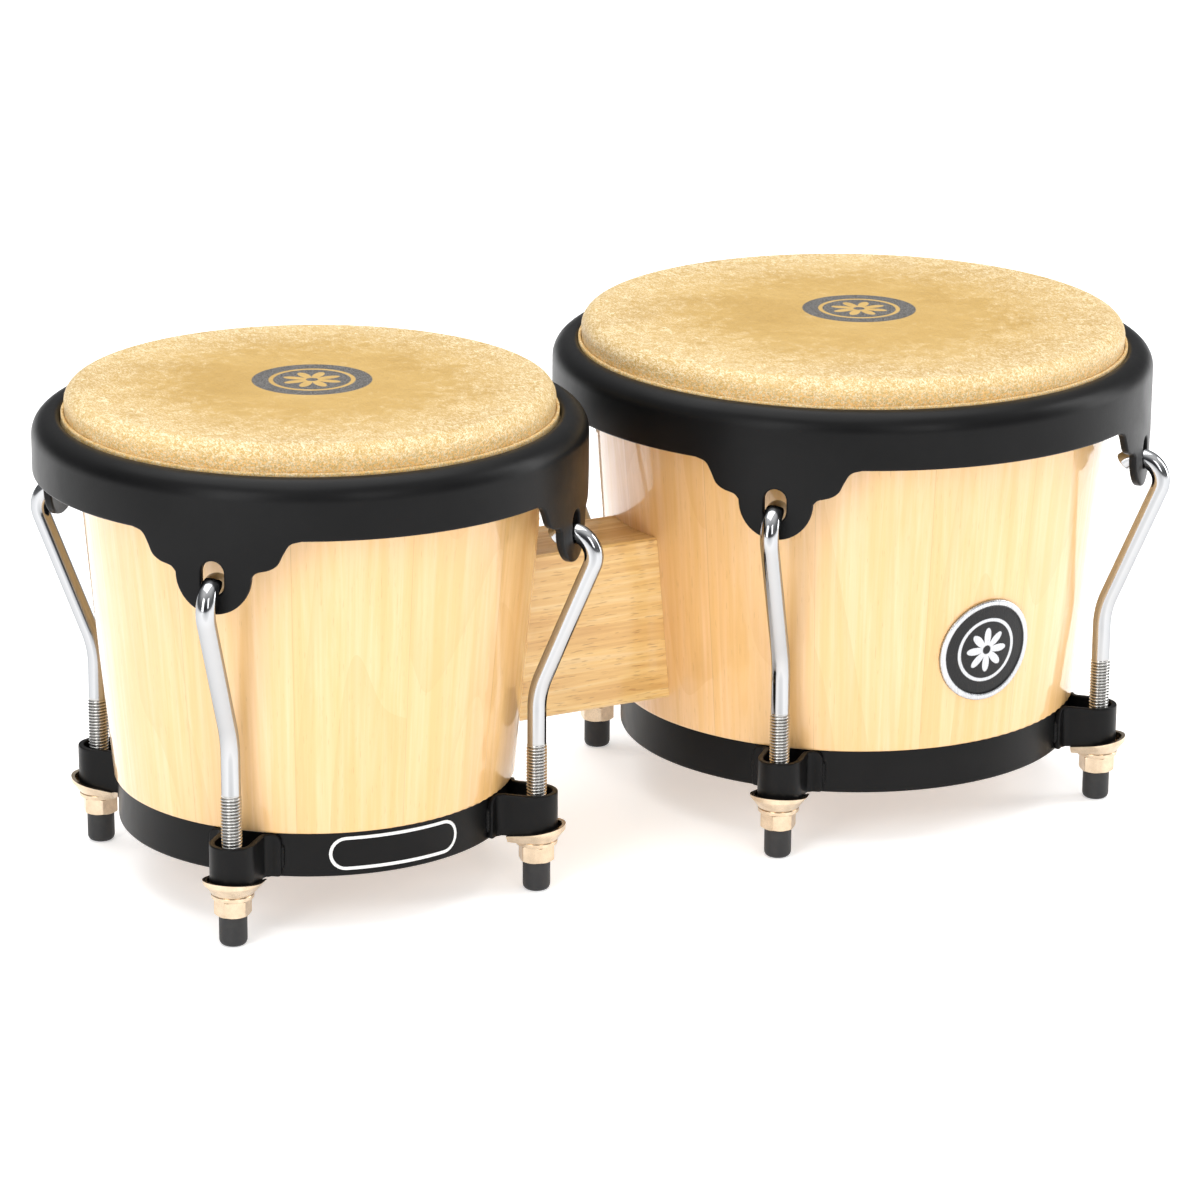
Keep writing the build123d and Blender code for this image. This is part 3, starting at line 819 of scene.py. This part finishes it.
def rim_crest(drum):
    """Section of the rolled top, from the outside round the lip and back inside."""
    rim, top = drum["rim"], drum["rim_top"]
    middle = rim - RIM_ROLL
    section = arc((middle, top - RIM_ROLL), RIM_ROLL, 0, 90, 12)
    section += arc((middle, top - RIM_INNER_ROLL), RIM_INNER_ROLL, 90, 180, 8)[1:]
    lip = top - RIM_LIP_DROP
    section += arc((middle - RIM_INNER_ROLL + 0.5 * MM, lip + 0.5 * MM), 0.5 * MM, 180, 270, 4)
    section += arc((middle - 0.5 * MM, lip + 0.5 * MM), 0.5 * MM, 270, 360, 4)
    section.append(Vector((middle, top - RIM_SHEET - 0.3 * MM)))
    section += arc((middle, top - RIM_ROLL), RIM_ROLL - RIM_SHEET, 84, 0, 10)
    return section


def make_rim(drum, material):
    """Skirt with four slotted ears in one sheet, rolled over at the top."""
    name = drum["name"]
    columns = 56
    quarter = math.pi / 2 * drum["rim"] / 2
    roll_start = drum["rim_top"] - RIM_ROLL
    joined_edge = [Vector((quarter - 2 * quarter * k / columns, roll_start)) for k in range(columns + 1)]
    free_edges = [(ear_line(drum), False), (slot_line(), True)]

    def round_rim(across, up, depth):
        a = across / drum["rim"]
        reach = drum["rim"] - depth
        return Vector((reach * math.cos(a), reach * math.sin(a), up))

    points, faces = formed_sheet(free_edges, joined_edge, round_rim, RIM_SHEET, SHEET_EDGE, 2.6 * MM)
    parts = []
    for _, _, angle in lug_places(drum):
        turn = Matrix.Rotation(angle, 3, "Z")
        parts.append(([turn @ p + Vector((drum["x"], 0, 0)) for p in points], faces))
    parts.append(turned(rim_crest(drum), drum["x"], closed=False, turns=4 * columns))
    rim = even_shading(new_piece(f"{name}_rim_pressed", *joined(parts)))
    return finished(rim, f"{name}_tuning", "black_coat", material, f"{name}_rim")


def rod_path(drum):
    """Points and headings up a lug, outwards from its foot: thread, bend, slant and hook."""
    foot = next(spot for _, spot, _ in lug_places(drum))
    reach = (foot - Vector((drum["x"], 0, 0))).length
    hook_reach = drum["rim"] - HOOK_INSET - reach
    rise = HOOK_HEIGHT - BEND_HEIGHT
    lean = math.atan2(hook_reach, rise) + math.asin(HOOK_RADIUS / math.hypot(hook_reach, rise))
    trim = BEND_RADIUS * math.tan(lean / 2)
    path = []
    for k in range(13):
        a = lean * k / 12
        out = BEND_RADIUS * (1 - math.cos(a))
        up = BEND_HEIGHT - trim + BEND_RADIUS * math.sin(a)
        path.append(((out, up), (math.sin(a), math.cos(a))))
    start = Vector((hook_reach + HOOK_RADIUS * math.cos(lean), HOOK_HEIGHT - HOOK_RADIUS * math.sin(lean)))
    bend_end = Vector(path[-1][0])
    for k in range(1, 9):
        path.append((tuple(bend_end.lerp(start, k / 9)), (math.sin(lean), math.cos(lean))))
    sweep = lean + math.pi / 2 + HOOK_DROP
    for k in range(33):
        a = -lean + sweep * k / 32
        spot = (hook_reach + HOOK_RADIUS * math.cos(a), HOOK_HEIGHT + HOOK_RADIUS * math.sin(a))
        path.append((spot, (-math.sin(a), math.cos(a))))
    last, way = Vector(path[-1][0]), Vector(path[-1][1])
    path.append((tuple(last + way * HOOK_TAIL * 0.4), tuple(way)))
    return path


def make_lug_mesh(drum):
    """A lug's points and faces, standing at the origin with its hook outwards along X."""
    around = 32
    points = []

    def ring(spot, heading, radius_at):
        across = Vector((-heading[1], 0, heading[0]))
        for i in range(around):
            a = 2 * math.pi * i / around
            offset = -across * math.cos(a) + Vector((0, 1, 0)) * math.sin(a)
            points.append(Vector((spot[0], 0, spot[1])) + offset * radius_at(a))

    def thread_radius(height):
        start = min(max((height - ROD_START) / (1.2 * MM), 0), 1)
        fade = min(max((THREAD_END - height) / (1.6 * MM), 0), 1)
        root = THREAD_RADIUS - THREAD_DEPTH * start

        def at(a):
            phase = height / THREAD_PITCH - a / (2 * math.pi)
            crest = min(max(0.5 + 0.75 * math.cos(2 * math.pi * phase), 0), 1)
            cut = root + (THREAD_RADIUS - root) * crest
            return SHANK_RADIUS + (cut - SHANK_RADIUS) * fade

        return at

    rows_per_turn = 7
    turns = int((THREAD_END - ROD_START) / THREAD_PITCH * rows_per_turn)
    for shrink in (0.0, 0.45, 0.75):
        ring((0, ROD_START), (0, 1), lambda a, s=shrink: s * (THREAD_RADIUS - THREAD_DEPTH))
    for k in range(turns + 1):
        height = ROD_START + 0.2 * MM + (THREAD_END - ROD_START - 0.2 * MM) * k / turns
        ring((0, height), (0, 1), thread_radius(height))
    path = rod_path(drum)
    for spot, heading in path:
        ring(spot, heading, lambda a: SHANK_RADIUS)
    last, way = Vector(path[-1][0]), Vector(path[-1][1])
    for k in range(1, 5):
        a = math.pi / 2 * k / 4
        cap = last + way * 0.5 * MM * math.sin(a)
        size = SHANK_RADIUS - 0.5 * MM * (1 - math.cos(a))
        ring(tuple(cap), tuple(way), lambda a, s=size: s)
    tip = last + way * 0.5 * MM
    ring(tuple(tip), tuple(way), lambda a: 0.0)
    return points, between_rings(len(points) // around, around)


def make_lugs(drum, material):
    name = drum["name"]
    points, faces = make_lug_mesh(drum)
    for number, foot, angle in lug_places(drum):
        place = Matrix.Translation(foot) @ Matrix.Rotation(angle, 4, "Z")
        lug = new_piece(f"{name}_lug_{number}_rod", points, faces, place)
        finished(lug, f"{name}_tuning", "chrome_rod", material, f"{name}_lug_{number}")


def make_skin(drum, material):
    """Rawhide from the middle of the head, over the shell, round the hoop and up to its cut edge."""
    name, rim = drum["name"], drum["rim"]
    top, edge = drum["head_top"], drum["head_edge"]
    half = SKIN / 2
    shoulder = SHOULDER - half
    hoop = rim - HOOP_INSET
    wall_top = edge - half
    line = [Vector((k / 30 * (wall_top - shoulder), top - half)) for k in range(30)]
    line += arc((wall_top - shoulder, top - half - shoulder), shoulder, 90, 0, 10)
    low = HOOP_HEIGHT + HOOP_WRAP * 0.4
    wall_low = wall_top - SHELL_FLARE * (top - SHOULDER - low) * 0.5
    wall_start, wall_end = Vector((wall_top, top - half - shoulder)), Vector((wall_low, low))
    line += [wall_start.lerp(wall_end, k / 8) for k in range(1, 9)]
    line += arc((hoop, HOOP_HEIGHT), HOOP_WRAP, 190, 450, 30)[1:]
    flap = wall_top + SKIN + FLAP_GAP
    over_hoop = HOOP_HEIGHT + HOOP_WRAP
    line.append(Vector((flap + 0.9 * MM, over_hoop + 0.15 * MM)))
    line.append(Vector((flap + 0.1 * MM, over_hoop + 1.2 * MM)))
    flap_start, flap_end = Vector((flap, over_hoop + 1.2 * MM)), Vector((flap, TUCK_TOP))
    line += [flap_start.lerp(flap_end, k / 5) for k in range(1, 6)]
    normals = normals_along(line, False)
    normals[0] = normals[1]
    outer = [p - n * half for p, n in zip(line, normals)]
    inner = [p + n * half for p, n in zip(line, normals)]
    outline = outer + list(reversed(inner))
    outer[0].x = inner[0].x = 0

    def uneven(a, radius, height):
        """The cut edge isn't quite level."""
        spot = Vector((math.cos(a) * 9, math.sin(a) * 9, height * 40))
        cut = max(0.0, min(1.0, (radius - wall_top - 0.3 * SKIN) / (0.4 * SKIN)))
        near_top = max(0.0, min(1.0, (height - TUCK_TOP + 1.0 * MM) / (1.0 * MM)))
        ragged = noise.noise(spot * 2.3) * 0.25 * MM * cut * near_top
        return 0.0, min(ragged, 0.05 * MM)

    points, faces = turned(outline, drum["x"], closed=True, turns=256, wobble=uneven)
    finished_skin(new_piece(f"{name}_skin", points, faces), drum, material)


def finished_skin(skin, drum, material):
    """Give the skin its finish, hide the CAD head and collar it stands for, and bake its place into its mesh.
    """
    name, x = drum["name"], drum["x"]
    skin.data.materials.append(material)
    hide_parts(f"{name}_head", f"{name}_collar")
    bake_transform(skin)


def make_tip(drum, number, foot, material):
    """Rubber foot, rounded underneath and lipped at its mouth."""
    name = f"{drum['name']}_tip_{number}"
    low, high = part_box(name)
    radius, height = (high.x - low.x) / 2, high.z
    bore = radius - TIP_WALL
    outline = [(0.0, ROD_START), (bore, ROD_START), (bore, height), (radius, height), (radius, 0), (0.0, 0)]
    line = rounded([Vector(p) for p in outline], [0, 0, 0.25 * MM, 0.5 * MM, 3.55 * MM, 0], 8)
    points, faces = turned(line, 0, turns=64)
    tip = even_shading(new_piece(f"{name}_rubber", points, faces, Matrix.Translation(foot)))
    finished(tip, f"{drum['name']}_tuning", "black_rubber", material, name)


def make_nut(drum, number, foot, angle, material):
    """Hexagon nut from hexagon bar, its corners turned off below and eased above."""
    name = f"{drum['name']}_nut_{number}"
    low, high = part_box(name)
    corner = NUT_FLATS / math.sqrt(3) - 0.12 * MM
    bore, lead_in = THREAD_RADIUS + 0.05 * MM, 0.35 * MM
    face = NUT_FLATS / 2 - 0.15 * MM
    sectors = (-30, -28.6, -27, -25, -21, -14, -7, 0, 7, 14, 21, 25, 27, 28.6)
    turns_at = [math.radians(60 * side + step) for side in range(6) for step in sectors]
    points = []
    for a in turns_at:
        flat_angle = (a + math.pi / 6) % (math.pi / 3) - math.pi / 6
        reach = min(NUT_FLATS / 2 / math.cos(flat_angle), corner)
        rise = max(reach - face, 0) * math.tan(math.radians(30))
        column = (
            (bore + lead_in, low.z), (face, low.z),
            (reach - 0.04 * MM, low.z + rise), (reach, low.z + rise + 0.08 * MM),
            (reach, high.z - 0.3 * MM - rise * 0.4), (reach - 0.1 * MM, high.z - 0.1 * MM - rise * 0.4),
            (face - 0.1 * MM, high.z), (bore + lead_in, high.z),
            (bore, high.z - lead_in), (bore, low.z + lead_in),
        )
        points += [(r * math.cos(a), r * math.sin(a), z) for r, z in column]
    faces = between_columns(len(turns_at), len(column))
    place = Matrix.Translation(foot) @ Matrix.Rotation(angle + math.pi / 6, 4, "Z")
    nut = even_shading(new_piece(f"{name}_hex", points, faces, place))
    finished(nut, f"{name}_turn", "plated_nut", material, name)


def make_washer(drum, number, foot, material):
    """Flat washer with one face rounded by the punch."""
    name = f"{drum['name']}_washer_{number}"
    low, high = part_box(name)
    radius, hole = (high.x - low.x) / 2, THREAD_RADIUS + 0.45 * MM
    outline = [(hole, low.z), (radius, low.z), (radius, high.z), (hole, high.z)]
    line = rounded([Vector(p) for p in outline], [0.2 * MM, 0.5 * MM, 0.2 * MM, 0.2 * MM], 4)
    washer = even_shading(new_piece(f"{name}_punched", *turned(line, 0, turns=72), Matrix.Translation(foot)))
    finished(washer, "drums", "plated_nut", material, name)


def bracket_path(drum, wood):
    """Plan of a bracket's outer face, seen from its middle: flange, wall, half round, wall, flange."""
    reach = drum["rim"] - BRACKET_INSET
    back = wood - reach
    flange = []
    foot_angle = (BRACKET_HALF + FLANGE_LENGTH) / wood
    for k in range(7):
        a = foot_angle - (foot_angle - (BRACKET_HALF + 1.2 * MM) / wood) * k / 6
        r = wood + BRACKET_SHEET
        flange.append(Vector((r * math.cos(a) - reach, r * math.sin(a))))
    turn_x = back + BRACKET_SHEET
    corner = arc((turn_x + 1.3 * MM, BRACKET_HALF + 1.3 * MM), 1.3 * MM, 180, 270, 5)
    half_round = arc((0, 0), BRACKET_HALF, 90, -90, 26)
    upper = flange + [p for p in corner if p.x > flange[-1].x - 0.2 * MM]
    wall = [Vector((upper[-1].x, BRACKET_HALF)).lerp(Vector((0, BRACKET_HALF)), k / 5) for k in range(1, 5)]
    line = upper + wall + half_round
    line += [Vector((p.x, -p.y)) for p in reversed(upper + wall)]
    return line


def make_bracket_mesh(drum, wood):
    """A bracket's points and faces: a strap bent to the path, its flange ends rounded at the top."""
    path = bracket_path(drum, wood)
    lengths = [0.0]
    for a, b in zip(path, path[1:]):
        lengths.append(lengths[-1] + (b - a).length)
    whole = lengths[-1]
    outward = [-n for n in normals_along(path, False)]

    def bent(along, up, depth):
        along = min(max(along, 0.0), whole)
        k = next((i for i in range(len(lengths) - 2) if lengths[i + 1] >= along), len(lengths) - 2)
        t = (along - lengths[k]) / (lengths[k + 1] - lengths[k])
        spot = path[k].lerp(path[k + 1], t) - outward[k].lerp(outward[k + 1], t).normalized() * depth
        return Vector((spot.x, spot.y, up))

    low = drum["band_bottom"] + 0.6 * MM
    high = low + BRACKET_HEIGHT
    corners = [Vector((0, low)), Vector((whole, low)), Vector((whole, high)), Vector((0, high))]
    outline = rounded(corners, [1.2 * MM, 1.2 * MM, 3.4 * MM, 3.4 * MM], 6)
    dense = []
    for a, b in zip(outline, outline[1:] + outline[:1]):
        pieces = max(1, int((b - a).length / (1.0 * MM)))
        dense += [a.lerp(b, k / pieces) for k in range(pieces)]
    return formed_sheet([(dense, True)], [], bent, BRACKET_SHEET, 0.45 * MM, 1.0 * MM)


def weld_bead(drum, wood, side):
    """A short uneven weld where a flange ends on the band."""
    points = []
    rows, around = 26, 10
    reach = drum["rim"] - BRACKET_INSET
    a = side * (BRACKET_HALF + FLANGE_LENGTH) / wood
    base = Vector((wood * math.cos(a) - reach + 0.1 * MM, wood * math.sin(a), 0))
    low = drum["band_bottom"] + WELD_START
    for j in range(rows):
        t = j / (rows - 1)
        height = low + t * WELD_LENGTH
        uneven = noise.noise(Vector((side * 3, t * 7, drum["x"] * 50)))
        ripple = 0.12 * MM * math.sin(t * 52) + 0.15 * MM * uneven
        size = (WELD_RADIUS + ripple) * math.sqrt(max(1 - (2 * t - 1) ** 6, 0))
        for i in range(around):
            b = 2 * math.pi * i / around
            points.append(base + Vector((size * math.cos(b), size * math.sin(b), height)))
    return points, between_rings(rows, around)


def make_band(drum, material):
    """Rolled band with its lip under the shell, and four brackets welded on."""
    name, wood = drum["name"], drum["band_radius"]
    low, high = drum["band_bottom"], drum["band_top"]
    corners = [
        (wood - BAND_LIP, low), (wood, low), (wood, high), (wood - BAND_SHEET, high),
        (wood - BAND_SHEET, low + BAND_FLOOR), (wood - BAND_LIP, low + BAND_FLOOR),
    ]
    radii = [0.5 * MM, 1.1 * MM, 0.45 * MM, 0.3 * MM, 0.0, 0.3 * MM]
    parts = [turned(rounded([Vector(p) for p in corners], radii, 5), drum["x"], turns=224)]
    reach = drum["rim"] - BRACKET_INSET
    pressed = [make_bracket_mesh(drum, wood), weld_bead(drum, wood, 1), weld_bead(drum, wood, -1)]
    axis, outward = Matrix.Translation((drum["x"], 0, 0)), Matrix.Translation((reach, 0, 0))
    for _, _, angle in lug_places(drum):
        place = axis @ Matrix.Rotation(angle, 4, "Z") @ outward
        parts += [([place @ Vector(p) for p in points], faces) for points, faces in pressed]
    band = even_shading(new_piece(f"{name}_band_welded", *joined(parts)))
    finished(band, "drums", "black_coat", material, f"{name}_band")


def make_band_outline(drum, material):
    """Plain long printed outline on the front of the small drum's band."""
    half_length, half_height = OUTLINE_SIZE[0] / 2, OUTLINE_SIZE[1] / 2
    width, proud = OUTLINE_WIDTH, 0.05 * MM
    radius = drum["band_radius"]
    middle = drum["band_bottom"] + OUTLINE_HEIGHT
    corner = half_length - half_height
    loop = arc((corner, 0), half_height, -90, 90, 12)
    loop += [Vector((corner - 2 * corner * k / 26, half_height)) for k in range(1, 26)]
    loop += arc((-corner, 0), half_height, 90, 270, 12)
    loop += [Vector((-corner + 2 * corner * k / 26, -half_height)) for k in range(1, 26)]
    points = []
    for p, n in zip(loop, normals_along(loop, True)):
        for side, depth in ((-0.5, -0.02 * MM), (-0.42, proud), (0.42, proud), (0.5, -0.02 * MM)):
            q = p + n * width * side
            a = OUTLINE_FRONT + q.x / radius
            r = radius + depth
            points.append((drum["x"] + r * math.cos(a), r * math.sin(a), middle + q.y))
    outline = new_piece(f"{drum['name']}_band_outline", points, between_columns(len(loop), 4))
    finished(outline, "drums", "black_coat", material)


def make_badge(drum):
    """Round badge bent to the shell: a raised ring round a shallow enamelled dish."""
    low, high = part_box("hembra_badge")
    radius = (high.z - low.z) / 2
    middle = (low + high) / 2
    angle = math.atan2(-1.0, (middle.x - drum["x"]) / drum["head_edge"])
    out = Vector((math.cos(angle), math.sin(angle), 0))
    side = Vector((-out.y, out.x, 0))

    def on_shell(reach, turn, raised):
        across, up = reach * math.cos(turn), reach * math.sin(turn)
        height = middle.z + up
        shell = drum["wall_at_foot"] + drum["flare"] * (height - drum["band_top"])
        r = shell + raised
        depth = math.sqrt(max(r * r - across * across, 0))
        return Vector((drum["x"], 0, height)) + out * depth + side * across

    section = [(0.0, 0.45), (0.3, 0.45), (0.6, 0.45), (0.84, 0.45), (0.875, 0.5), (0.89, 0.95), (0.905, 1.12)]
    section += [(0.93, 1.17), (0.96, 1.17), (0.985, 1.08), (1.0, 0.85), (1.0, 0.05), (0.0, 0.05)]
    around = 96
    points = []
    for i in range(around):
        turn = 2 * math.pi * i / around
        points += [on_shell(radius * share, turn, raised * MM) for share, raised in section]
    faces = between_columns(around, len(section), closed=False)
    centre = on_shell(0, 0, 0)
    badge = even_shading(new_piece("hembra_badge_plate", points, faces))
    finished(badge, "drums", "badge_metal", badge_metal(centre, out), "hembra_badge")


# --------------------------------------------------------------------- build

plate = warm_plate("champagne_nickel", (0.76, 0.62, 0.46), (0.60, 0.47, 0.33), 0.16, 0.3)
zinc = warm_plate("bright_zinc", (0.66, 0.67, 0.68), (0.50, 0.51, 0.53), 0.28, 0.42)
coat, chrome, rubber = powder_coat(), chrome_rod(), moulded_rubber()


def repaint(node, material):
    """Give a CAD node that stays in view its finish."""
    mesh = frame["nodes"][node].data
    mesh.materials.clear()
    mesh.materials.append(material)


for name in DRUMS:
    drum = measure(name)
    drum["band_radius"] = band_radius(drum)
    drum["flare"] = SHELL_FLARE
    drum["wall_at_foot"] = drum["band_radius"] + SHELL_OUTSIDE_BAND
    repaint(f"{name}_shell", shell_wood(drum))
    repaint(f"{name}_flesh_hoop", zinc)
    make_skin(drum, rawhide(drum, PRINT_PLACES[name]))
    make_rim(drum, coat)
    make_band(drum, coat)
    make_lugs(drum, chrome)
    for number, foot, angle in lug_places(drum):
        make_tip(drum, number, foot, rubber)
        make_nut(drum, number, foot, angle, plate)
        make_washer(drum, number, foot, plate)
        repaint(f"{name}_cup_{number}", plate)
    if name == BADGE_DRUM:
        make_badge(drum)
    else:
        make_band_outline(drum, white_print())

repaint("centre_block", block_wood())
for number in (1, 2):
    repaint(f"block_bolt_{number}", zinc)
    repaint(f"block_nut_{number}", zinc)


# ------------------------------------------------------------ studio, camera


def make_floor():
    points = []
    rings, around = 12, 64
    for j in range(rings + 1):
        r = FLOOR_RADIUS * (j / rings) ** 2
        for i in range(around):
            a = 2 * math.pi * i / around
            points.append((r * math.cos(a), r * math.sin(a), 0.0))
    floor = new_piece("floor", points, between_rings(rings + 1, around))
    floor.data.materials.append(studio_floor())


def make_light(name, place, aim, size, power, tall=None):
    lamp = bpy.data.lights.new(name, "AREA")
    lamp.energy = power
    lamp.shape = "RECTANGLE"
    lamp.size = size
    lamp.size_y = tall or size
    made = bpy.data.objects.new(name, lamp)
    bpy.context.scene.collection.objects.link(made)
    made.location = place
    made.rotation_euler = (Vector(aim) - Vector(place)).to_track_quat("-Z", "Y").to_euler()


def make_world():
    """Soft white room, dimmer towards the floor so that bright metal has something to show."""
    world = bpy.data.worlds.new("studio")
    bpy.context.scene.world = world
    world.use_nodes = True
    tree = world.node_tree
    way = put(tree, "ShaderNodeTexCoord").outputs["Generated"]
    height = split(tree, way)[2]
    light = ramp(
        tree,
        spread(tree, height, -0.1, 0.8),
        (0.0, (0.50, 0.50, 0.51)),
        (0.3, (0.16, 0.165, 0.17)),
        (0.55, (0.30, 0.305, 0.31)),
        (1.0, (1.0, 1.0, 1.0)),
    )
    tree.links.new(light, tree.nodes["Background"].inputs["Color"])
    tree.nodes["Background"].inputs["Strength"].default_value = 0.9


def make_camera():
    azimuth, elevation, roll = (math.radians(angle) for angle in CAMERA_TURN)
    level_back = Vector((math.sin(azimuth), -math.cos(azimuth), 0))
    back = level_back * math.cos(elevation) + Vector((0, 0, math.sin(elevation)))
    right = Vector((math.cos(azimuth), math.sin(azimuth), 0))
    up = back.cross(right)
    rolled_right = right * math.cos(roll) - up * math.sin(roll)
    rolled_up = right * math.sin(roll) + up * math.cos(roll)
    level = Matrix((rolled_right, rolled_up, back))
    camera = bpy.data.objects.new("camera", bpy.data.cameras.new("camera"))
    bpy.context.scene.collection.objects.link(camera)
    camera.data.lens = LENS
    camera.data.sensor_width = 36
    camera.matrix_world = Matrix.Translation(CAMERA_PLACE) @ level.transposed().to_4x4()
    bpy.context.scene.camera = camera


make_floor()
make_world()
make_light("overhead", (-0.1, 0.3, 2.2), (0, 0, 0.1), 2.4, 38)
make_light("left_box", (-1.9, -1.1, 0.9), (0, 0, 0.1), 0.8, 19, 1.6)
make_light("right_box", (1.9, -0.5, 0.8), (0, 0, 0.1), 0.7, 19, 1.6)
make_light("front_box", (-0.1, -2.6, 1.2), (0, 0, 0.08), 0.7, 13, 1.4)
make_camera()
bpy.context.scene.view_settings.view_transform = "Standard"
